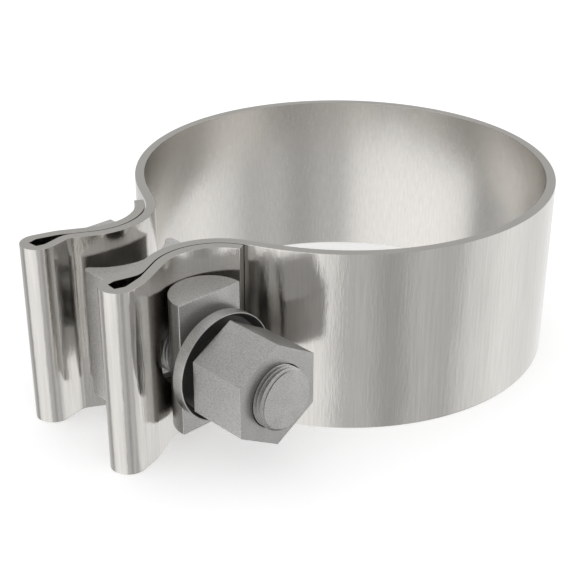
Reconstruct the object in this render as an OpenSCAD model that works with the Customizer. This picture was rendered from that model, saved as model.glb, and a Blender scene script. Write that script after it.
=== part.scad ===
// Flat band exhaust clamp. One strip of stainless steel makes the ring and both ears.
// Each ear is the strip's end folded back on itself. One cups the bolt's D-shaped head and
// the other a loose D-shaped bar. The bolt passes through both ears, a waisted spacer between
// them and the bar, and its nut draws the band tight.
// Origin: centre of the bore at mid-width. +Z is the pipe's axis, the ears point to -X,
// and the nut is on the -Y side.

/* [Band] */
// Bore of the open band, which closes to 69.85 on its pipe
band_bore_d = 72; // [50:0.5:130]
// Width of the strip, along the pipe
band_w = 31.75; // [28:0.25:50]
// Thickness of the strip
band_t = 1.65; // [1.2:0.05:2.2]
// Straight run of the strip between the ring and each ear's cradle
neck_len = 5; // [1:0.25:9]

/* [Ears] */
// Space between the two ears where they come closest
ear_gap = 9.9; // [8:0.1:13]
// Radius of the hollow in each ear that cups a bar
cradle_r = 8.6; // [7.4:0.1:9.6]
// Hairline space between the strip and its folded-back flap
layer_gap = 0.2; // [0.1:0.05:0.4]
// Distance from the bolt's centre line out to the centre of the fold
fold_reach = 13.4; // [12:0.1:17]
// Height of the fold's centre above the closest face of its ear
fold_lift = 5.35; // [4.6:0.05:6]
// Radius inside the fold
fold_inner_r = 1.35; // [0.8:0.05:1.7]
// How far the two corners at the end of the fold's hollow stand out past that radius
corner_depth = 0.12; // [0.05:0.01:0.3]
// Angle between those corners, seen from the fold's centre
corner_spread = 77; // [50:1:90]
// Turn of the line midway between them towards the other ear, in degrees
corner_turn = 5.5; // [0:0.5:12]
// Radius of the bend where the strip parts from the flap, at mid-thickness
bend_r = 3; // [2:0.1:4]
// Slope of the strip between that bend and the fold, in degrees
leg_slope = 13; // [6:1:18]
// How far the flap wraps round the bar past the lowest point of the cradle, in degrees
flap_wrap = 65; // [40:1:75]
// Clearance round the bolt in each ear's hole, on the radius
ear_hole_clear = 1.5; // [0.5:0.1:2]

/* [Bar and bolt head] */
// Metal on each side of the bolt's hole in the bar. The bolt's head is as wide as the bar.
bar_wall = 0.95; // [0.7:0.05:1.8]
// Length of the bar and of the bolt's head, along the pipe
bar_len = 22.9; // [18:0.1:27]
// Clearance between the round of either and its cradle
bar_clear = 0.1; // [0.05:0.05:0.3]
// Height of the straight sides between the bar's flat and its round
bar_side = 0.5; // [0.1:0.05:2]
// Height of the straight sides between the bolt head's flat and its round
head_side = 3.45; // [0.5:0.05:5]
// Clearance round the bolt in the bar's hole, on the radius
bar_hole_clear = 0.2; // [0.1:0.05:0.4]

/* [Spacer] */
// Distance that the spacer's end is kept outside the bore of the band
spacer_setback = 0.35; // [0.1:0.05:2]
// Thickness of the spacer at its waist
spacer_waist = 2.9; // [2:0.1:5]
// Height of the spacer, along the pipe
spacer_h = 22.9; // [18:0.1:27]
// Radius of the hollow on each side, in which an ear comes to rest when the band is tight
hollow_r = 10; // [9.5:0.1:12]
// Radius of the rounded tips of its horns
horn_r = 0.7; // [0.4:0.05:1]
// Clearance round the bolt in the spacer's hole, on the radius
spacer_hole_clear = 0.5; // [0.2:0.05:1]

/* [Washer] */
// How far the washer stands out past the corners of the nut
washer_overhang = 0.35; // [0.1:0.05:2]
// Clearance round the bolt in the washer, on the radius
washer_clear = 0.25; // [0.15:0.05:0.5]
// Thickness of the washer
washer_t = 3.55; // [2.5:0.05:5]
// Width of the rim that the washer keeps in front of its taper
washer_rim = 2.1; // [1:0.1:2.3]
// Diameter of the face on which the washer bears on the bar
washer_foot_d = 14; // [12.5:0.1:16]
// Depth of the dish in the washer's front, at the bottom of which the nut bears
washer_dish = 1.6; // [0.5:0.05:2]
// Width of the lip round the dish
washer_lip = 0.2; // [0.1:0.05:0.5]
// Clearance between the nut's round face and the bottom edge of the dish, on the radius
dish_clear = 0.85; // [0.2:0.05:1]

/* [Nut] */
// Size of the nut across its flats
nut_af = 15; // [14.5:0.1:18]
// Length of the nut's hexagon
nut_len = 10.55; // [8:0.05:14]
// Step in from the nut's flats to the round bearing boss behind the hexagon
nut_face_step = 0.35; // [0.1:0.05:1]
// Distance from the washer's lip out to the back of the hexagon
nut_lift = 0.95; // [0.4:0.05:1.5]
// Clearance between the nut's bore and the bolt, on the radius
thread_clear = 0.05; // [0.02:0.01:0.1]
// Chamfer at each mouth of the nut's bore
nut_mouth = 0.15; // [0.1:0.05:0.8]

/* [Bolt] */
// Diameter of the bolt
bolt_d = 10; // [8:0.1:10.6]
// Length of thread that stands proud of the nut
thread_proud = 1.85; // [0.5:0.05:8]
// Chamfer at the tip of the bolt
tip_chamfer = 0.25; // [0.1:0.05:1]

/* [Hidden] */
$fn = 144;

// Radii of the strip's centre line: ring, cradle, flap and fold
ring_r = band_bore_d / 2 + band_t / 2;
flap_r = cradle_r + band_t / 2;
main_r = cradle_r + band_t + layer_gap + band_t / 2;
fold_r = fold_inner_r + band_t / 2;

// Cradle centre. The ring, a straight neck and the cradle are tangent in a row.
cradle_y = ear_gap / 2 + main_r + band_t / 2;
cradle_dist = norm([ring_r + main_r, neck_len]);
cradle_x = sqrt(cradle_dist * cradle_dist - cradle_y * cradle_y);
cradle_c = [cradle_x, cradle_y];
neck_angle = atan2(cradle_y, cradle_x) + atan2(neck_len, ring_r + main_r);

// Fold centre, and the slope of the straight flap that joins the fold to the cradle
fold_c = [cradle_x + fold_reach, ear_gap / 2 + fold_lift];
fold_to_cradle = cradle_c - fold_c;
flap_run = sqrt(pow(norm(fold_to_cradle), 2) - pow(flap_r + fold_r, 2));
flap_slope = atan2(fold_to_cradle.y, fold_to_cradle.x) - atan2(flap_run, flap_r + fold_r) - 90;

// Corner where the rising strip, parallel to the flap, meets the leg that falls to the fold
rise_dir = [cos(flap_slope), sin(flap_slope)];
leg_dir = [-cos(leg_slope), sin(leg_slope)];
rise_start = cradle_c + polar(main_r, flap_slope - 90);
leg_end = fold_c + polar(fold_r, -90 - leg_slope);
rise_len = cross(leg_end - rise_start, leg_dir) / cross(rise_dir, leg_dir);
leg_len = cross(leg_end - rise_start, rise_dir) / cross(rise_dir, leg_dir);
bend_run = bend_r * tan((flap_slope + leg_slope) / 2);
bend_start = rise_start + (rise_len - bend_run) * rise_dir;
bend_c = bend_start + polar(bend_r, flap_slope - 90);

// Width across the flat of the bar and of the bolt's head
bar_w = bolt_d + 2 * (bar_hole_clear + bar_wall);

// Diameters across the corners of the nut and of the washer
nut_corners = nut_af / cos(30);
washer_d = nut_corners + 2 * washer_overhang;
boss_r = nut_af / 2 - nut_face_step;

// Stations along the bolt, measured out from the plane midway between the ears
bar_middle = cradle_y - cradle_r + bar_clear + bar_w / 2;
bar_flat = bar_middle + bar_side;
washer_front = bar_flat + washer_t;
nut_seat = washer_front - washer_dish;
nut_back = washer_front + nut_lift;
nut_front = nut_back + nut_len;
bolt_tip = nut_front + thread_proud;

// The spacer reaches as far out from the bolt as it does in towards the pipe
spacer_len = 2 * (cradle_x - band_bore_d / 2 - spacer_setback);
hollow_y = spacer_waist / 2 + hollow_r;

// Space allowed beyond a face, so that a cut passes right through it
over = 1;
// Each straight stretch of the strip laps into the bends beside it, so that they make one
// solid, and both its faces lie a hair below theirs, so that the lap stays inside them
lap = 0.1;
lap_step = 0.005;

function polar(r, a) = [r * cos(a), r * sin(a)];

// A disc's slice from angle a through sweep
module slice(r, a, sweep) {
    intersection() {
        circle(r);
        polygon([[0, 0], for (i = [0:8]) polar(2 * r, a + i * sweep / 8)]);
    }
}

// Edge of the strip where it is bent to an arc about c, from angle a through sweep
module strip_arc(c, r, a, sweep) {
    translate(c)
        difference() {
            slice(r + band_t / 2, a, sweep);
            circle(r - band_t / 2);
        }
}

// Edge of a straight stretch of the strip that leaves p at angle a. It laps into the
// stretches before and after it.
module strip_line(p, a, len) {
    translate(p)
        rotate(a)
            translate([-lap, lap_step - band_t / 2])
                square([len + 2 * lap, band_t - 2 * lap_step]);
}

// Turns what is drawn along +Z to stand on the bolt's axis, out from the mid plane
module on_bolt() {
    translate([cradle_x, 0, 0])
        rotate([-90, 0, 0])
            children();
}

// A hole that clears the bolt by a given radius, from one station along it to another
module bolt_hole(clear, from, to) {
    on_bolt()
        translate([0, 0, from])
            cylinder(r = bolt_d / 2 + clear, h = to - from);
}

// Everything is drawn with the ears to +X and is turned to -X at the end
module ears_to_minus_x() {
    rotate(180)
        children();
}

// Edge of the fold. It is round outside, and the hollow inside ends square, with a corner
// to each side where the strip was pressed over the edge of a flat tool.
module fold_end() {
    start = -90 - leg_slope;
    sweep = 180 + leg_slope + flap_slope;
    corner_r = fold_inner_r + corner_depth;
    low_corner = polar(corner_r, -corner_turn - corner_spread / 2);
    high_corner = polar(corner_r, corner_spread / 2 - corner_turn);
    translate(fold_c)
        difference() {
            slice(fold_r + band_t / 2, start, sweep);
            polygon([
                low_corner,
                high_corner,
                2 * polar(fold_inner_r, start + sweep) - high_corner,
                2 * polar(fold_inner_r, start) - low_corner
            ]);
        }
}

// Edge of one ear: neck, cradle, rise, bend, leg, fold, and the flap back round the cradle
module ear() {
    strip_line(polar(ring_r, neck_angle), neck_angle - 90, neck_len);
    strip_arc(cradle_c, main_r, neck_angle + 180, 90 + flap_slope - neck_angle);
    strip_line(rise_start, flap_slope, rise_len - bend_run);
    strip_arc(bend_c, bend_r, 90 - leg_slope, flap_slope + leg_slope);
    strip_line(leg_end, 180 - leg_slope, leg_len - bend_run);
    fold_end();
    strip_line(fold_c + polar(fold_r, 90 + flap_slope), 180 + flap_slope, flap_run);
    strip_arc(cradle_c, flap_r, -90 - flap_wrap, flap_wrap + flap_slope);
}

module band() {
    color("silver")
        ears_to_minus_x()
            difference() {
                linear_extrude(band_w, center = true) {
                    strip_arc([0, 0], ring_r, neck_angle, 360 - 2 * neck_angle);
                    ear();
                    mirror([0, 1]) ear();
                }
                bolt_hole(ear_hole_clear, -bar_flat, bar_flat);
            }
}

// A D-shaped block in the cradle of the nut's ear: a half round with straight sides
module cradle_block(side) {
    translate([cradle_x, bar_middle, 0])
        linear_extrude(bar_len, center = true) {
            intersection() {
                circle(d = bar_w);
                translate([-bar_w / 2, -bar_w])
                    square(bar_w);
            }
            translate([-bar_w / 2, 0])
                square([bar_w, side]);
        }
}

module nut_bar() {
    color("darkgray")
        ears_to_minus_x()
            difference() {
                cradle_block(bar_side);
                bolt_hole(bar_hole_clear, 0, bar_flat + over);
            }
}

// Quarter of the metal cut from the tip of a horn, to leave it round
module horn_cut() {
    tip_x = spacer_len / 2 - horn_r;
    tip_y = hollow_y - sqrt(pow(hollow_r + horn_r, 2) - tip_x * tip_x);
    difference() {
        polygon([[tip_x, tip_y], [spacer_len, tip_y], [spacer_len, hollow_y], [0, hollow_y]]);
        translate([tip_x, tip_y])
            circle(horn_r);
    }
}

// Section of the spacer: a waisted block with a horn at each corner
module spacer_section() {
    difference() {
        square([spacer_len, 2 * hollow_y], center = true);
        for (side = [0, 1])
            mirror([0, side]) {
                translate([0, hollow_y])
                    circle(hollow_r);
                for (end = [0, 1])
                    mirror([end, 0])
                        horn_cut();
            }
    }
}

module spacer() {
    color("gray")
        ears_to_minus_x()
            difference() {
                translate([cradle_x, 0, 0])
                    linear_extrude(spacer_h, center = true)
                        spacer_section();
                bolt_hole(spacer_hole_clear, -hollow_y, hollow_y);
            }
}

module bolt() {
    color("gray")
        ears_to_minus_x() {
            on_bolt() {
                translate([0, 0, -bar_middle])
                    cylinder(d = bolt_d, h = bar_middle + bolt_tip - tip_chamfer);
                translate([0, 0, bolt_tip - tip_chamfer])
                    cylinder(d1 = bolt_d, d2 = bolt_d - 2 * tip_chamfer, h = tip_chamfer);
            }
            mirror([0, 1, 0])
                cradle_block(head_side);
        }
}

module washer() {
    bore_r = bolt_d / 2 + washer_clear;
    seat_h = washer_t - washer_dish;
    color("darkgray")
        ears_to_minus_x()
            on_bolt()
                translate([0, 0, bar_flat])
                    rotate_extrude()
                        polygon([
                            [bore_r, 0],
                            [washer_foot_d / 2, 0],
                            [washer_d / 2, washer_t - washer_rim],
                            [washer_d / 2, washer_t],
                            [washer_d / 2 - washer_lip, washer_t],
                            [boss_r + dish_clear, seat_h],
                            [bore_r, seat_h]
                        ]);
}

module nut() {
    bore_r = bolt_d / 2 + thread_clear;
    color("silver")
        ears_to_minus_x()
            on_bolt()
                difference() {
                    union() {
                        translate([0, 0, nut_seat])
                            cylinder(r = boss_r, h = nut_back - nut_seat);
                        translate([0, 0, nut_back])
                            rotate(30)
                                cylinder(d = nut_corners, h = nut_len, $fn = 6);
                    }
                    translate([0, 0, nut_seat - over])
                        cylinder(r = bore_r, h = nut_front - nut_seat + 2 * over);
                    translate([0, 0, nut_front - nut_mouth])
                        cylinder(r1 = bore_r, r2 = bore_r + 2 * nut_mouth, h = 2 * nut_mouth);
                    translate([0, 0, nut_seat - nut_mouth])
                        cylinder(r1 = bore_r + 2 * nut_mouth, r2 = bore_r, h = 2 * nut_mouth);
                }
}

band();
spacer();
bolt();
nut_bar();
washer();
nut();
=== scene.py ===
# Flat band exhaust clamp: the looks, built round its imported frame
# Pieces are modelled in millimetres with the ears to +X, then turned and scaled into the frame
import bpy
import bmesh
from math import atan2, cos, hypot, pi, radians, degrees, sin, sqrt, tan
from mathutils import Matrix, Vector


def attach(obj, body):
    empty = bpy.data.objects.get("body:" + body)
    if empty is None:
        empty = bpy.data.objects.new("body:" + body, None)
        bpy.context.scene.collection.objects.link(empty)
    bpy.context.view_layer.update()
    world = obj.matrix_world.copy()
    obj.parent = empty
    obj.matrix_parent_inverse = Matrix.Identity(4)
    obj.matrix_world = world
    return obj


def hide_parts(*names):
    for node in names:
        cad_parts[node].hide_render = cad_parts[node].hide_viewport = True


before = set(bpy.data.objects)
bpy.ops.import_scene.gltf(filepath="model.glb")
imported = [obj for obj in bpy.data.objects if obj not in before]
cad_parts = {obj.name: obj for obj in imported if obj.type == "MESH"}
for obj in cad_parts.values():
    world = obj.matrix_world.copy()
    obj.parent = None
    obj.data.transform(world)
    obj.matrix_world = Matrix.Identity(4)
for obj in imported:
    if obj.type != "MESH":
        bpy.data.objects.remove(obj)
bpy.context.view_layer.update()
print("frame loaded:", ", ".join(sorted(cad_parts)))


# Small helpers

def polar(radius, angle):
    return Vector((radius * cos(radians(angle)), radius * sin(radians(angle))))


def clearSelection():
    if bpy.context.object and bpy.context.object.mode != "OBJECT":
        bpy.ops.object.mode_set(mode="OBJECT")
    bpy.ops.object.select_all(action="DESELECT")


def pick(obj, vertices=None, edges=None, faces=None):
    # edit mode with only the vertices, edges or faces selected that pass the test
    bpy.context.view_layer.objects.active = obj
    bpy.ops.object.mode_set(mode="EDIT")
    bpy.ops.mesh.select_mode(type="VERT" if vertices else "EDGE" if edges else "FACE")
    bpy.ops.mesh.select_all(action="DESELECT")
    mesh = bmesh.from_edit_mesh(obj.data)
    if vertices:
        for vertex in mesh.verts:
            vertex.select_set(vertices(vertex))
    if edges:
        for edge in mesh.edges:
            edge.select_set(edges(edge))
    if faces:
        for face in mesh.faces:
            face.select_set(faces(face))
    mesh.select_flush_mode()
    bmesh.update_edit_mesh(obj.data)


def applyModifier(obj, kind, **settings):
    clearSelection()
    obj.select_set(True)
    bpy.context.view_layer.objects.active = obj
    modifier = obj.modifiers.new(kind.lower(), kind)
    for key, value in settings.items():
        setattr(modifier, key, value)
    bpy.ops.object.modifier_apply(modifier=modifier.name)


def combine(obj, tool, operation):
    applyModifier(obj, "BOOLEAN", object=tool, operation=operation, solver="EXACT")
    bpy.data.objects.remove(tool, do_unlink=True)


def paintShade(obj, plain, test):
    # painted shade: faces whose every corner passes the test, given as (radius from the bolt's axis, station), take
    # the dark steel
    obj.data.materials.clear()
    obj.data.materials.append(plain)
    obj.data.materials.append(paintedShade)
    for face in obj.data.polygons:
        corners = [obj.data.vertices[i].co for i in face.vertices]
        if all(test(hypot(c.x - cradleX, c.z), c.y) for c in corners):
            face.material_index = 1


def shade(obj, angle=35):
    clearSelection()
    obj.select_set(True)
    bpy.context.view_layer.objects.active = obj
    bpy.ops.object.shade_smooth_by_angle(angle=radians(angle), keep_sharp_edges=True)
    applyModifier(obj, "WEIGHTED_NORMAL", keep_sharp=True, weight=60)


def intoFrame(obj, name, node, body, slot, *materials):
    # millimetres with the ears to +X become metres with the ears to -X
    clearSelection()
    obj.select_set(True)
    bpy.context.view_layer.objects.active = obj
    obj.name = obj.data.name = name
    obj.matrix_world = Matrix.Rotation(pi, 4, "Z") @ Matrix.Scale(0.001, 4)
    bpy.ops.object.transform_apply(location=True, rotation=True, scale=True)
    for place, material in enumerate(materials):
        if place < len(obj.data.materials):
            obj.data.materials[place] = material
        else:
            obj.data.materials.append(material)
    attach(obj, body)
    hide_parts(node)
    print("made", name, len(obj.data.polygons), "faces")


# Camera, at the photo's viewing angle

camera = {
    "place": (-0.1545, -0.1455, 0.09803),
    "pan": -43.99,
    "tilt": -26.77,
    "roll": -0.19,
    "lens": 78.16,
    "sensor": 36,
}


def makeCamera():
    data = bpy.data.cameras.new("photoCamera")
    data.lens = camera["lens"]
    data.sensor_width = camera["sensor"]
    data.sensor_fit = "HORIZONTAL"
    data.clip_start = 0.005
    data.clip_end = 20
    obj = bpy.data.objects.new("photoCamera", data)
    bpy.context.scene.collection.objects.link(obj)
    pan = Matrix.Rotation(radians(camera["pan"]), 4, "Z")
    tilt = Matrix.Rotation(radians(camera["tilt"]), 4, "X")
    roll = Matrix.Rotation(radians(camera["roll"]), 4, "Y")
    level = Matrix.Rotation(pi / 2, 4, "X")
    obj.matrix_world = Matrix.Translation(camera["place"]) @ pan @ tilt @ roll @ level
    bpy.context.scene.camera = obj


makeCamera()


# Materials

def linear(code):
    # an sRGB hex colour as Blender's linear values
    parts = [int(code[i:i + 2], 16) / 255 for i in (1, 3, 5)]
    return [c / 12.92 if c <= 0.04045 else ((c + 0.055) / 1.055) ** 2.4 for c in parts] + [1]


def addNode(tree, kind, inputs=None, **settings):
    node = tree.nodes.new(kind)
    for key, value in settings.items():
        setattr(node, key, value)
    for key, value in (inputs or {}).items():
        if isinstance(value, bpy.types.NodeSocket):
            tree.links.new(value, node.inputs[key])
        else:
            node.inputs[key].default_value = value
    return node


def newMaterial(name):
    material = bpy.data.materials.new(name)
    material.use_nodes = True
    tree = material.node_tree
    tree.nodes.clear()
    return material, tree


def finishMaterial(tree, shader):
    addNode(tree, "ShaderNodeOutputMaterial", {"Surface": shader.outputs[0]})


def noiseAt(tree, vector, size, **inputs):
    # noise whose grains are about the given millimetres across
    values = {"Vector": vector, "Scale": 1000 / size}
    values.update({key.capitalize(): value for key, value in inputs.items()})
    return addNode(tree, "ShaderNodeTexNoise", values)


def remap(tree, value, low, high, fromLow=0.3, fromHigh=0.7):
    # the middle of a noise spread over the range from low to high
    return addNode(tree, "ShaderNodeMapRange", {
        "Value": value, "From Min": fromLow, "From Max": fromHigh, "To Min": low, "To Max": high}).outputs[0]


def metalShader(tree, colour, rough, normal):
    shader = addNode(tree, "ShaderNodeBsdfPrincipled", {
        "Base Color": colour, "Metallic": 1, "Roughness": rough, "Normal": normal})
    finishMaterial(tree, shader)


def stripStreaks(tree, width, length):
    # grinding streaks on the unrolled strip, along the pipe's axis: width and length in millimetres
    uv = addNode(tree, "ShaderNodeUVMap", uv_map="strip")
    scale = (1000 / width, 1000 / length, 1)
    place = addNode(tree, "ShaderNodeVectorMath", {0: uv.outputs[0], 1: scale}, operation="MULTIPLY")
    return addNode(tree, "ShaderNodeTexNoise", {"Vector": place.outputs[0], "Scale": 1, "Detail": 3, "Roughness": 0.6})


brightStainless = {"colour": "#dedcd8", "streakColour": "#c3c0bb", "roughness": 0.11, "streakWidth": 0.45,
                   "streakLength": 13, "rippleWidth": 0.4, "rippleLength": 2, "grain": 0.16, "wave": 16}


def makeBrightStainless():
    # 304 strip, bright rolled, on both ears and outside the ring: near-mirror reflections, so that
    # the nut shows in the ring, broken by fine streaks across the strip
    s = brightStainless
    material, tree = newMaterial("brightStainless")
    streaks = stripStreaks(tree, s["streakWidth"], s["streakLength"])
    place = addNode(tree, "ShaderNodeTexCoord")
    grain = noiseAt(tree, place.outputs["Object"], s["grain"], detail=2)
    rough = remap(tree, streaks.outputs["Fac"], s["roughness"] - 0.03, s["roughness"] + 0.06)
    colour = addNode(tree, "ShaderNodeMix", {
        "Factor": streaks.outputs["Fac"], "A": linear(s["colour"]), "B": linear(s["streakColour"])}, data_type="RGBA")
    ripples = stripStreaks(tree, s["rippleWidth"], s["rippleLength"])
    height = addNode(tree, "ShaderNodeMath", {0: grain.outputs["Fac"], 1: 0.35, 2: ripples.outputs["Fac"]},
                     operation="MULTIPLY_ADD")
    waves = noiseAt(tree, place.outputs["Object"], s["wave"], detail=1)
    sway = addNode(tree, "ShaderNodeBump", {"Strength": 1, "Distance": 0.00025, "Height": waves.outputs["Fac"]})
    bump = addNode(tree, "ShaderNodeBump", {
        "Strength": 0.7, "Distance": 0.00003, "Height": height.outputs[0], "Normal": sway.outputs[0]})
    metalShader(tree, colour.outputs["Result"], rough, bump.outputs[0])
    return material


satinStainless = {"colour": "#dfddd9", "streakColour": "#cbc8c3", "roughness": 0.21, "streakWidth": 0.4,
                  "streakLength": 2.5, "grain": 0.2}


def makeSatinStainless():
    # the ring's inner wall, rubbed dull by the rounding rolls: soft gradients with a speckled grain
    # and drag lines
    s = satinStainless
    material, tree = newMaterial("satinStainless")
    streaks = stripStreaks(tree, s["streakWidth"], s["streakLength"])
    place = addNode(tree, "ShaderNodeTexCoord")
    grain = noiseAt(tree, place.outputs["Object"], s["grain"], detail=3, roughness=0.7)
    rough = remap(tree, grain.outputs["Fac"], s["roughness"] - 0.05, s["roughness"] + 0.07)
    colour = addNode(tree, "ShaderNodeMix", {
        "Factor": streaks.outputs["Fac"], "A": linear(s["colour"]), "B": linear(s["streakColour"])}, data_type="RGBA")
    height = addNode(tree, "ShaderNodeMath", {0: streaks.outputs["Fac"], 1: 0.6, 2: grain.outputs["Fac"]},
                     operation="MULTIPLY_ADD")
    bump = addNode(tree, "ShaderNodeBump", {"Strength": 0.6, "Distance": 0.00002, "Height": height.outputs[0]})
    metalShader(tree, colour.outputs["Result"], rough, bump.outputs[0])
    return material


shearedSteel = {"colour": "#b1afaa", "roughness": 0.4, "grain": 0.12}


def makeShearedSteel():
    # the strip's slit edges: plain mid grey with a fine drag of the blade
    s = shearedSteel
    material, tree = newMaterial("shearedSteel")
    place = addNode(tree, "ShaderNodeTexCoord")
    fine = noiseAt(tree, place.outputs["Object"], s["grain"], detail=3)
    rough = remap(tree, fine.outputs["Fac"], s["roughness"] - 0.06, s["roughness"] + 0.1)
    bump = addNode(tree, "ShaderNodeBump", {"Strength": 0.5, "Distance": 0.00001, "Height": fine.outputs["Fac"]})
    metalShader(tree, linear(s["colour"]), rough, bump.outputs[0])
    return material


platedSteel = {"colour": "#c6c5c3", "pitColour": "#a9a8a6", "roughness": 0.36, "grain": 0.17, "patch": 3}
turnedSteel = {"colour": "#bebdbb", "pitColour": "#a09f9e", "roughness": 0.37, "grain": 0.17, "patch": 3}
barSteel = {"colour": "#c4c3c1", "pitColour": "#a5a4a2", "roughness": 0.33, "grain": 0.2, "patch": 4}
forgedSteel = {"colour": "#d3d2d0", "pitColour": "#b5b4b2", "roughness": 0.38, "grain": 0.2, "patch": 4}
# painted shade: a dark, dull copy of the plated steel, put where shade falls in thread valleys, the washer's dish and
# the nut's bore and undercut
paintedShadeSteel = {"colour": "#7e7d7b", "pitColour": "#666563", "roughness": 0.6, "grain": 0.17, "patch": 3}


def makePlatedSteel(name, s):
    # zinc-plated steel with a fine pebbled grain: an even mid grey on the turned nut and washer,
    # and duller over the scale of the forged bar, head and spacer. Its dark copy is painted shade
    material, tree = newMaterial(name)
    place = addNode(tree, "ShaderNodeTexCoord")
    fine = noiseAt(tree, place.outputs["Object"], s["grain"], detail=2, roughness=0.6)
    patches = noiseAt(tree, place.outputs["Object"], s["patch"], detail=3)
    rough = remap(tree, patches.outputs["Fac"], s["roughness"] - 0.05, s["roughness"] + 0.07)
    pits = remap(tree, fine.outputs["Fac"], 1, 0, 0.36, 0.56)
    colour = addNode(tree, "ShaderNodeMix", {
        "Factor": pits, "A": linear(s["colour"]), "B": linear(s["pitColour"])}, data_type="RGBA")
    bump = addNode(tree, "ShaderNodeBump", {"Strength": 0.7, "Distance": 0.00003, "Height": fine.outputs["Fac"]})
    metalShader(tree, colour.outputs["Result"], rough, bump.outputs[0])
    return material


bright = makeBrightStainless()
satin = makeSatinStainless()
sheared = makeShearedSteel()
plated = makePlatedSteel("platedSteel", platedSteel)
forged = makePlatedSteel("forgedSteel", forgedSteel)
turnedNut = makePlatedSteel("turnedSteel", turnedSteel)
barMetal = makePlatedSteel("barSteel", barSteel)
# painted shade: the dark steel for recesses and thread valleys
paintedShade = makePlatedSteel("paintedShadeSteel", paintedShadeSteel)
print("materials made")


# Band: one strip, drawn as its middle sheet by spins and extrudes, then given its thickness

strip = {
    "bore": 72,
    "width": 31.75,
    "thickness": 1.65,
    "neck": 5,
    "earGap": 9.9,
    "cradleRadius": 8.6,
    "layerGap": 0.2,
    "foldReach": 13.4,
    "foldLift": 5.35,
    "foldInnerRadius": 1.35,
    "cornerDepth": 0.12,
    "cornerSpread": 77,
    "cornerTurn": 5.5,
    "bendRadius": 3,
    "foldSlope": 16.5,
    "cradleSlope": 28.5,
    "flapBend": 8,
    "legSlope": 13,
    "flapWrap": 65,
    "holeClear": 1.5,
    "edgeRound": 0.13,
    "ringStep": 1.5,
    "bendStep": 4,
}
bolt = {
    "diameter": 10,
    "threadProud": 1.85,
    "tipChamfer": 0.25,
    "pitch": 0.75,
    "threadDepth": 0.46,
    "threadLength": 33,
    "headSide": 3.45,
    "edgeRound": 0.15,
}
bar = {"wall": 0.95, "holeClear": 0.2, "length": 22.9, "clear": 0.1, "side": 0.5, "edgeRound": 0.15}
spacer = {"setback": 0.35, "waist": 2.9, "height": 22.9, "hollowRadius": 10, "hornRadius": 0.7, "holeClear": 0.5, "edgeRound": 0.2}
washer = {"overhang": 0.35, "clear": 0.25, "thickness": 3.55, "rim": 2.1, "footDiameter": 14, "lip": 0.2, "dish": 1.6, "dishClear": 0.85, "edgeRound": 0.08}
nut = {"acrossFlats": 15, "length": 10.55, "faceStep": 0.35, "lift": 0.95, "clear": 0.05, "mouth": 0.15, "undercut": 1.5, "edgeRound": 0.1}

# Places that more than one piece is built from
ringRadius = (strip["bore"] + strip["thickness"]) / 2
flapRadius = strip["cradleRadius"] + strip["thickness"] / 2
mainRadius = strip["cradleRadius"] + strip["layerGap"] + strip["thickness"] * 1.5
foldRadius = strip["foldInnerRadius"] + strip["thickness"] / 2
cradleY = strip["earGap"] / 2 + mainRadius + strip["thickness"] / 2
cradleX = sqrt((ringRadius + mainRadius) ** 2 + strip["neck"] ** 2 - cradleY ** 2)
cradle = Vector((cradleX, cradleY))
neckAngle = degrees(atan2(cradleY, cradleX) + atan2(strip["neck"], ringRadius + mainRadius))
barWidth = bolt["diameter"] + 2 * (bar["holeClear"] + bar["wall"])
barMiddle = cradleY - strip["cradleRadius"] + bar["clear"] + barWidth / 2
barFlat = barMiddle + bar["side"]
washerFront = barFlat + washer["thickness"]
nutSeat = washerFront - washer["dish"]
nutBack = washerFront + nut["lift"]
nutFront = nutBack + nut["length"]
boltTip = nutFront + bolt["threadProud"]
nutCorners = nut["acrossFlats"] / cos(radians(30))
bossRadius = nut["acrossFlats"] / 2 - nut["faceStep"]


fold = Vector((cradleX + strip["foldReach"], strip["earGap"] / 2 + strip["foldLift"]))


def earStretches():
    # ("line", end point) or ("arc", centre, sweep in degrees) from the neck out to the flap's end.
    # The flap leaves the fold on a gentle slope and steepens halfway to the cradle.
    gentle, steep, leg = strip["foldSlope"], strip["cradleSlope"], strip["legSlope"]
    riseStart = cradle + polar(mainRadius, steep - 90)
    legEnd = fold + polar(foldRadius, -90 - leg)
    rise, fall = polar(1, steep), polar(1, 180 - leg)
    across = legEnd - riseStart
    riseLength = across.cross(fall) / rise.cross(fall)
    bendRun = strip["bendRadius"] * tan(radians(steep + leg) / 2)
    bendStart = riseStart + (riseLength - bendRun) * rise
    bend = bendStart + polar(strip["bendRadius"], steep - 90)
    flapStart = fold + polar(foldRadius, 90 + gentle)
    flapEnd = cradle + polar(flapRadius, steep - 90)
    turnMove = polar(strip["flapBend"], gentle - 90) - polar(strip["flapBend"], steep - 90)
    first, second = polar(1, 180 + gentle), polar(1, 180 + steep)
    firstLength = (flapEnd - flapStart - turnMove).cross(second) / first.cross(second)
    turnStart = flapStart + firstLength * first
    return [
        ("arc", cradle, 90 + steep - neckAngle),
        ("line", bendStart),
        ("arc", bend, -steep - leg),
        ("line", legEnd),
        ("arc", fold, 180 + leg + gentle),
        ("line", turnStart),
        ("arc", turnStart + polar(strip["flapBend"], gentle - 90), steep - gentle),
        ("line", flapEnd),
        ("arc", cradle, -strip["flapWrap"] - steep),
    ]


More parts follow.
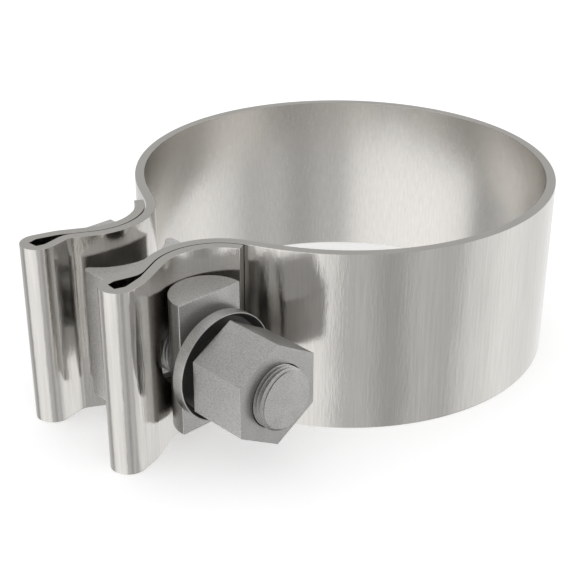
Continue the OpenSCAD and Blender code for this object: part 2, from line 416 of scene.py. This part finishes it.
def growStrip(obj, start, stretches, step):
    # continues the sheet from its edge at start, by one spin or extrude for each stretch
    at = start
    pick(obj, edges=lambda e: all((v.co.xy - start).length < 0.01 for v in e.verts))
    for stretch in stretches:
        if stretch[0] == "arc":
            centre, sweep = stretch[1:]
            steps = max(4, round(abs(sweep) / step))
            bpy.ops.mesh.spin(steps=steps, angle=radians(-sweep), center=centre.to_3d(), axis=(0, 0, 1))
            at = centre + Matrix.Rotation(radians(sweep), 2) @ (at - centre)
        else:
            move = stretch[1] - at
            bpy.ops.mesh.extrude_region_move(TRANSFORM_OT_translate={"value": (move.x, move.y, 0)})
            at = stretch[1]
    bpy.ops.object.mode_set(mode="OBJECT")


def unrollStrip(obj):
    # a UV map in real metres: U along the strip from one flap to the other, V across it
    mesh = obj.data
    along, links = {}, {}
    low = {v.index for v in mesh.vertices if v.co.z < 0}
    for edge in mesh.edges:
        a, b = edge.vertices
        if a in low and b in low:
            links.setdefault(a, []).append(b)
            links.setdefault(b, []).append(a)
    at = min(i for i in links if len(links[i]) == 1)
    run, before = 0, None
    while at is not None:
        along[tuple(round(c, 3) for c in mesh.vertices[at].co.xy)] = run
        ahead = [i for i in links[at] if i != before]
        before, at = at, ahead[0] if ahead else None
        if at is not None:
            run += (mesh.vertices[at].co - mesh.vertices[before].co).length
    layer = mesh.uv_layers.new(name="strip")
    for loop in mesh.loops:
        co = mesh.vertices[loop.vertex_index].co
        layer.data[loop.index].uv = (along[tuple(round(c, 3) for c in co.xy)] * 0.001, co.z * 0.001)


def squareHollow(obj):
    # the inside of each fold is pulled out to two corners, where a flat tool pressed the strip
    inner = strip["foldInnerRadius"]
    ends = (-90 - strip["legSlope"], 90 + strip["foldSlope"])
    middle, spread = -strip["cornerTurn"], strip["cornerSpread"] / 2
    corners = [polar(inner, ends[0]), polar(inner + strip["cornerDepth"], middle - spread),
               polar(inner + strip["cornerDepth"], middle + spread), polar(inner, ends[1])]
    for vertex in obj.data.vertices:
        side = 1 if vertex.co.y > 0 else -1
        at = Vector((vertex.co.x, vertex.co.y * side)) - fold
        angle = degrees(atan2(at.y, at.x))
        if at.length > inner + 0.05 or not ends[0] < angle < ends[1]:
            continue
        for a, b in zip(corners, corners[1:]):
            if degrees(atan2(a.y, a.x)) <= angle <= degrees(atan2(b.y, b.x)):
                reach = a.cross(b - a) / at.normalized().cross(b - a)
                spot = fold + reach * at.normalized()
                vertex.co.xy = (spot.x, spot.y * side)


def makeBand():
    neckStart = polar(ringRadius, neckAngle)
    neckWay = polar(1, neckAngle - 90)
    neckEnd = neckStart + strip["neck"] * neckWay
    middle = (neckStart + neckEnd) / 2
    clearSelection()
    bpy.ops.mesh.primitive_plane_add(size=1, location=middle.to_3d(), rotation=(pi / 2, 0, radians(neckAngle - 90)))
    obj = bpy.context.object
    obj.scale = (strip["neck"], strip["width"], 1)
    bpy.ops.object.transform_apply(location=True, rotation=True, scale=True)
    growStrip(obj, neckEnd, earStretches(), strip["bendStep"])
    growStrip(obj, neckStart, [("arc", Vector((0, 0)), 180 - neckAngle)], strip["ringStep"])
    applyModifier(obj, "MIRROR", use_axis=(False, True, False), merge_threshold=0.005)
    unrollStrip(obj)
    pick(obj, faces=lambda f: True)
    bpy.ops.mesh.normals_make_consistent(inside=False)
    bpy.ops.object.mode_set(mode="OBJECT")
    for material in (satin, bright, sheared):
        obj.data.materials.append(material)
    applyModifier(obj, "SOLIDIFY", thickness=strip["thickness"], offset=0, use_even_offset=True,
                  use_rim=True, material_offset=1, material_offset_rim=2)
    squareHollow(obj)
    applyModifier(obj, "BEVEL", width=strip["edgeRound"], segments=2, limit_method="ANGLE",
                  angle_limit=radians(50), harden_normals=False)
    bpy.ops.mesh.primitive_cylinder_add(vertices=96, radius=bolt["diameter"] / 2 + strip["holeClear"],
                                        depth=2 * barFlat, location=(cradleX, 0, 0), rotation=(pi / 2, 0, 0))
    combine(obj, bpy.context.object, "DIFFERENCE")
    holeRadius = bolt["diameter"] / 2 + strip["holeClear"]
    for face in obj.data.polygons:
        corners = [obj.data.vertices[i].co for i in face.vertices]
        if all(abs(hypot(c.x - cradleX, c.z) - holeRadius) < 0.03 for c in corners):
            face.material_index = 2
        if face.material_index == 0 and face.center.xy.length > ringRadius:
            face.material_index = 1
    shade(obj)
    intoFrame(obj, "bandStrip", "band", "clamp_body", "stainless_strip", satin, bright, sheared)


makeBand()


# Bar and bolt head: a half round with straight sides, cut from a round bar

def makeBlock(side, edgeRound):
    clearSelection()
    bpy.ops.mesh.primitive_cylinder_add(vertices=128, radius=barWidth / 2, depth=bar["length"],
                                        location=(cradleX, barMiddle, 0))
    obj = bpy.context.object
    bpy.ops.object.transform_apply(location=True, rotation=True, scale=True)
    bpy.ops.object.mode_set(mode="EDIT")
    bpy.ops.mesh.select_all(action="SELECT")
    bpy.ops.mesh.bisect(plane_co=(0, barMiddle, 0), plane_no=(0, 1, 0), clear_outer=True, use_fill=True)
    pick(obj, faces=lambda f: f.normal.y > 0.9)
    bpy.ops.mesh.extrude_region_move(TRANSFORM_OT_translate={"value": (0, side, 0)})
    bpy.ops.mesh.select_all(action="SELECT")
    bpy.ops.mesh.remove_doubles(threshold=0.001)
    bpy.ops.mesh.normals_make_consistent(inside=False)
    bpy.ops.object.mode_set(mode="OBJECT")
    applyModifier(obj, "BEVEL", width=edgeRound, segments=3, limit_method="ANGLE", angle_limit=radians(40))
    return obj


def roundTool(radius, start, end, radiusEnd=None):
    # a cylinder or cone on the bolt's axis, between two stations along it
    clearSelection()
    bpy.ops.mesh.primitive_cone_add(vertices=96, radius1=radius, radius2=radiusEnd or radius, depth=end - start,
                                    location=(cradleX, (start + end) / 2, 0), rotation=(-pi / 2, 0, 0))
    bpy.ops.object.transform_apply(location=True, rotation=True, scale=True)
    return bpy.context.object


def turned(name, outline, steps=144):
    # an outline of (radius, station) points, closed and spun round the bolt's axis
    clearSelection()
    bpy.ops.mesh.primitive_plane_add(size=1, location=(0, 0, 0))
    obj = bpy.context.object
    obj.name = name
    places = [Vector((cradleX + radius, station, 0)) for radius, station in outline]
    bpy.ops.object.mode_set(mode="EDIT")
    bpy.ops.mesh.select_mode(type="VERT")
    bpy.ops.mesh.select_all(action="SELECT")
    bpy.ops.mesh.merge(type="CENTER")
    bpy.ops.transform.translate(value=places[0])
    for before, after in zip(places, places[1:]):
        bpy.ops.mesh.extrude_vertices_move(TRANSFORM_OT_translate={"value": after - before})
    if outline[0][0] > 0:
        pick(obj, vertices=lambda v: (v.co - places[0]).length < 0.001 or (v.co - places[-1]).length < 0.001)
        bpy.ops.mesh.edge_face_add()
    bpy.ops.mesh.select_all(action="SELECT")
    bpy.ops.mesh.spin(steps=steps, angle=2 * pi, center=(cradleX, 0, 0), axis=(0, 1, 0))
    bpy.ops.mesh.select_all(action="SELECT")
    bpy.ops.mesh.remove_doubles(threshold=0.001)
    bpy.ops.mesh.normals_make_consistent(inside=False)
    bpy.ops.object.mode_set(mode="OBJECT")
    return obj


def helicalCutter(deep, deepHalf, mouth, mouthHalf, start, end):
    # a V section, narrow at radius deep and wide at radius mouth, turned up the bolt's axis
    clearSelection()
    bpy.ops.mesh.primitive_plane_add(size=1, location=((deep + mouth) / 2, 0, 0), rotation=(pi / 2, 0, 0))
    obj = bpy.context.object
    obj.scale = (abs(mouth - deep), 2 * mouthHalf, 1)
    bpy.ops.object.transform_apply(location=True, rotation=True, scale=True)
    pick(obj, edges=lambda e: all(abs(v.co.x - deep) < 0.001 for v in e.verts))
    bpy.ops.transform.resize(value=(1, 1, deepHalf / mouthHalf))
    bpy.ops.mesh.select_all(action="SELECT")
    bpy.ops.mesh.delete(type="ONLY_FACE")
    bpy.ops.object.mode_set(mode="OBJECT")
    turns = round((end - start) / bolt["pitch"])
    applyModifier(obj, "SCREW", axis="Z", screw_offset=bolt["pitch"], iterations=turns, steps=72, render_steps=72)
    bpy.ops.object.mode_set(mode="EDIT")
    bpy.ops.mesh.select_mode(type="EDGE")
    bpy.ops.mesh.select_all(action="DESELECT")
    bpy.ops.mesh.select_non_manifold()
    bpy.ops.mesh.fill()
    bpy.ops.mesh.select_all(action="SELECT")
    bpy.ops.mesh.normals_make_consistent(inside=False)
    bpy.ops.object.mode_set(mode="OBJECT")
    obj.matrix_world = Matrix.Translation((cradleX, start, 0)) @ Matrix.Rotation(-pi / 2, 4, "X")
    bpy.ops.object.transform_apply(location=True, rotation=True, scale=True)
    return obj


def makeNutBar():
    obj = makeBlock(bar["side"], bar["edgeRound"])
    hole = roundTool(bolt["diameter"] / 2 + bar["holeClear"], 0, barFlat + 2)
    combine(obj, hole, "DIFFERENCE")
    shade(obj)
    intoFrame(obj, "nutBar", "nut_bar", "clamp_body", "plated_steel", barMetal)


makeNutBar()


# Spacer: a quarter of its outline grown by spins, mirrored twice and capped

def makeSpacer():
    half = cradleX - strip["bore"] / 2 - spacer["setback"]
    hollow = Vector((cradleX, spacer["waist"] / 2 + spacer["hollowRadius"]))
    reach = spacer["hollowRadius"] + spacer["hornRadius"]
    tipX = half - spacer["hornRadius"]
    tip = Vector((cradleX + tipX, hollow.y - sqrt(reach ** 2 - tipX ** 2)))
    toTip = degrees(atan2((tip - hollow).y, (tip - hollow).x))
    end = Vector((cradleX + half, tip.y))
    clearSelection()
    bpy.ops.mesh.primitive_plane_add(size=1, location=(end.x, end.y / 2, 0), rotation=(pi / 2, 0, pi / 2))
    obj = bpy.context.object
    obj.scale = (end.y, spacer["height"], 1)
    bpy.ops.object.transform_apply(location=True, rotation=True, scale=True)
    growStrip(obj, end, [("arc", tip, 180 + toTip), ("arc", hollow, -90 - toTip)], 5)
    bpy.context.scene.cursor.location = (cradleX, 0, 0)
    bpy.ops.object.origin_set(type="ORIGIN_CURSOR")
    applyModifier(obj, "MIRROR", use_axis=(True, True, False), merge_threshold=0.005)
    bpy.ops.object.transform_apply(location=True, rotation=True, scale=True)
    for level in (-1, 1):
        pick(obj, edges=lambda e: all(v.co.z * level > 1 for v in e.verts))
        bpy.ops.mesh.edge_face_add()
        bpy.ops.object.mode_set(mode="OBJECT")
    bpy.ops.object.mode_set(mode="EDIT")
    bpy.ops.mesh.select_all(action="SELECT")
    bpy.ops.mesh.remove_doubles(threshold=0.001)
    bpy.ops.mesh.normals_make_consistent(inside=False)
    bpy.ops.object.mode_set(mode="OBJECT")
    applyModifier(obj, "BEVEL", width=spacer["edgeRound"], segments=3, limit_method="ANGLE", angle_limit=radians(40))
    hole = roundTool(bolt["diameter"] / 2 + spacer["holeClear"], -hollow.y, hollow.y)
    combine(obj, hole, "DIFFERENCE")
    shade(obj)
    intoFrame(obj, "waistedSpacer", "spacer", "clamp_body", "plated_steel", forged)


makeSpacer()


# Bolt: D-shaped head, plain shank and a rolled thread

def makeBolt():
    radius = bolt["diameter"] / 2
    tip = boltTip - bolt["tipChamfer"]
    outline = [(0, -barMiddle - 1), (radius, -barMiddle - 1), (radius, tip), (radius - bolt["tipChamfer"], boltTip), (0, boltTip)]
    obj = turned("headedBolt", outline)
    crest = bolt["pitch"] / 8
    groove = helicalCutter(radius - bolt["threadDepth"], crest, radius + 0.03, (bolt["pitch"] - crest) / 2 + 0.017,
                           boltTip - bolt["threadLength"], boltTip + bolt["pitch"])
    combine(obj, groove, "DIFFERENCE")
    head = makeBlock(bolt["headSide"], bolt["edgeRound"])
    head.matrix_world = Matrix.Scale(-1, 4, (0, 1, 0))
    clearSelection()
    head.select_set(True)
    bpy.context.view_layer.objects.active = head
    bpy.ops.object.transform_apply(location=True, rotation=True, scale=True)
    pick(head, faces=lambda f: True)
    bpy.ops.mesh.normals_make_consistent(inside=False)
    bpy.ops.object.mode_set(mode="OBJECT")
    combine(obj, head, "UNION")
    floorRadius = radius - bolt["threadDepth"]
    # painted shade in the thread's valley floors
    paintShade(obj, plated, lambda reach, station: floorRadius - 0.02 < reach < floorRadius + 0.02)
    shade(obj)
    intoFrame(obj, "headedBolt", "bolt", "clamp_body", "plated_steel", plated, paintedShade)


makeBolt()


# Washer: its section, spun round the bolt

def makeWasher():
    inner = bolt["diameter"] / 2 + washer["clear"]
    outer = nutCorners / 2 + washer["overhang"]
    outline = [(inner, barFlat), (washer["footDiameter"] / 2, barFlat), (outer, washerFront - washer["rim"]),
               (outer, washerFront), (outer - washer["lip"], washerFront),
               (bossRadius + washer["dishClear"], nutSeat), (inner, nutSeat)]
    obj = turned("rimmedWasher", outline)
    applyModifier(obj, "BEVEL", width=washer["edgeRound"], segments=3, limit_method="ANGLE", angle_limit=radians(20))
    # painted shade on the dish between the rim and the nut
    paintShade(obj, plated, lambda reach, station: station > nutSeat - 0.2 and reach < outer - 0.8 * washer["lip"])
    shade(obj)
    intoFrame(obj, "rimmedWasher", "washer", "washer_body", "plated_steel", plated, paintedShade)


makeWasher()


# Nut: a long hexagon with a round bearing face and a threaded bore

def makeNut():
    clearSelection()
    bpy.ops.mesh.primitive_cylinder_add(vertices=6, radius=nutCorners / 2, depth=nut["length"],
                                        location=(cradleX, (nutBack + nutFront) / 2, 0), rotation=(-pi / 2, 0, 0))
    obj = bpy.context.object
    bpy.ops.object.transform_apply(location=True, rotation=True, scale=True)
    applyModifier(obj, "BEVEL", width=nut["edgeRound"], segments=2, limit_method="ANGLE", angle_limit=radians(30))
    combine(obj, roundTool(bossRadius - nut["undercut"], nutSeat, nutBack + 0.5), "UNION")
    major = bolt["diameter"] / 2 + nut["clear"]
    minor = major - bolt["threadDepth"] * 0.9
    mouth = major + nut["mouth"]
    bore = turned("bore", [(0, nutSeat - 1), (mouth, nutSeat - 1), (mouth, nutSeat), (minor, nutSeat + mouth - minor),
                           (minor, nutFront - mouth + minor), (mouth, nutFront), (mouth, nutFront + 1), (0, nutFront + 1)], 72)
    combine(obj, bore, "DIFFERENCE")
    groove = helicalCutter(major, bolt["pitch"] / 16, minor - 0.03, bolt["pitch"] * 0.375 + 0.017,
                           nutSeat - bolt["pitch"], nutFront + bolt["pitch"])
    combine(obj, groove, "DIFFERENCE")
    # painted shade in the bore, its mouth and the undercut behind the hexagon
    paintShade(obj, turnedNut, lambda reach, station: reach < mouth + 0.01 or reach < bossRadius and station < nutBack + 0.01)
    shade(obj)
    intoFrame(obj, "hexNut", "nut", "nut_body", "plated_steel", turnedNut, paintedShade)


makeNut()


# Studio: a pale floor and a dim room with a bright horizon; the soft lamp maker below is not called

studio = {
    "floorColour": "#f4f4f4",
    "floorGlow": 0.42,
    "dome": 0.78,
    "domeStart": -0.05,
    "domeFull": 0.4,
    # a large soft box high on the left, which only the dull hardware shows
    "boxAzimuth": 172,
    "boxHeight": -3,
    "boxSpread": 44,
    "boxGain": 1.28,
    # the table's paper, bright towards the window on the left and falling off to the right
    "nadir": 0.95,
    "nadirSlope": 1.7,
    "nadirAzimuth": 150,
    # azimuth in degrees and brightness of the tent's walls, as the polished ring shows them:
    # bright paper all round, with darker gaps on the camera's side
    "walls": [(-180, 1), (-148, 1.12), (-141, 0.95), (-136, 0.6), (-126, 0.65), (-109, 0.45), (-93, 0.67),
              (-75, 0.6), (-60, 0.92), (-36, 1.1), (-10, 0.97), (25, 1), (50, 0.88), (90, 0.7), (131, 0.45), (141, 1), (180, 1)],
}


def makeStudio():
    clearSelection()
    bpy.ops.mesh.primitive_plane_add(size=6, location=(0, 0, -0.001 * strip["width"] / 2 - 0.00002))
    floor = bpy.context.object
    floor.name = "floor"
    material, tree = newMaterial("whitePaper")
    diffuse = addNode(tree, "ShaderNodeBsdfDiffuse", {"Color": linear(studio["floorColour"])})
    path = addNode(tree, "ShaderNodeLightPath")
    glow = addNode(tree, "ShaderNodeMath", {0: path.outputs["Is Camera Ray"], 1: studio["floorGlow"]}, operation="MULTIPLY")
    emission = addNode(tree, "ShaderNodeEmission", {"Color": (1, 1, 1, 1), "Strength": glow.outputs[0]})
    both = addNode(tree, "ShaderNodeAddShader", {0: diffuse.outputs[0], 1: emission.outputs[0]})
    finishMaterial(tree, both)
    floor.data.materials.append(material)
    floor.visible_glossy = False

    world = bpy.data.worlds.new("lightTent")
    bpy.context.scene.world = world
    world.use_nodes = True
    tree = world.node_tree
    tree.nodes.clear()
    way = addNode(tree, "ShaderNodeTexCoord")
    around = addNode(tree, "ShaderNodeTexGradient", {"Vector": way.outputs["Generated"]}, gradient_type="RADIAL")
    walls = addNode(tree, "ShaderNodeValToRGB", {"Fac": around.outputs["Fac"]})
    ramp = walls.color_ramp
    ramp.interpolation = "EASE"
    for spot, (azimuth, bright) in enumerate(studio["walls"]):
        place = (azimuth + 180) / 360
        stop = ramp.elements[spot] if spot < 2 else ramp.elements.new(place)
        stop.position = place
        stop.color = (bright, bright, bright, 1)
    azimuth, height = radians(studio["boxAzimuth"]), radians(studio["boxHeight"])
    boxWay = (cos(azimuth) * cos(height), sin(azimuth) * cos(height), sin(height))
    parts = addNode(tree, "ShaderNodeSeparateXYZ", {0: way.outputs["Generated"]})
    rise = addNode(tree, "ShaderNodeMapRange", {"Value": parts.outputs["Z"], "From Min": studio["domeStart"], "From Max": studio["domeFull"]},
                   interpolation_type="SMOOTHSTEP")
    dome = addNode(tree, "ShaderNodeMix", {"Factor": rise.outputs[0], "A": walls.outputs["Color"], "B": (studio["dome"],) * 3 + (1,)}, data_type="RGBA")
    toBox = addNode(tree, "ShaderNodeVectorMath", {0: way.outputs["Generated"], 1: boxWay}, operation="DOT_PRODUCT")
    box = addNode(tree, "ShaderNodeMapRange", {
        "Value": toBox.outputs["Value"], "From Min": cos(radians(studio["boxSpread"])), "From Max": 1,
        "To Min": 1, "To Max": studio["boxGain"]}, interpolation_type="SMOOTHSTEP")
    depth = addNode(tree, "ShaderNodeMapRange", {"Value": parts.outputs["Z"], "From Min": -0.58, "From Max": -0.72})
    slope = polar(studio["nadirSlope"], studio["nadirAzimuth"]).to_3d()
    lean = addNode(tree, "ShaderNodeVectorMath", {0: way.outputs["Generated"], 1: slope}, operation="DOT_PRODUCT")
    tone = addNode(tree, "ShaderNodeMath", {0: lean.outputs["Value"], 1: studio["nadir"]}, operation="ADD")
    paper = addNode(tree, "ShaderNodeMix", {
        "Factor": depth.outputs[0], "A": dome.outputs["Result"], "B": tone.outputs[0]}, data_type="RGBA")
    light = addNode(tree, "ShaderNodeBackground", {"Color": paper.outputs["Result"], "Strength": box.outputs[0]})
    addNode(tree, "ShaderNodeOutputWorld", {"Surface": light.outputs[0]})


def softLamp(name, place, size, watts):
    data = bpy.data.lights.new(name, "AREA")
    data.shape = "RECTANGLE"
    data.size, data.size_y = size
    data.energy = watts
    obj = bpy.data.objects.new(name, data)
    bpy.context.scene.collection.objects.link(obj)
    obj.location = place
    obj.rotation_euler = (-Vector(place)).to_track_quat("-Z", "Y").to_euler()


makeStudio()
print("studio made")

view = bpy.context.scene.view_settings
view.view_transform = "Standard"
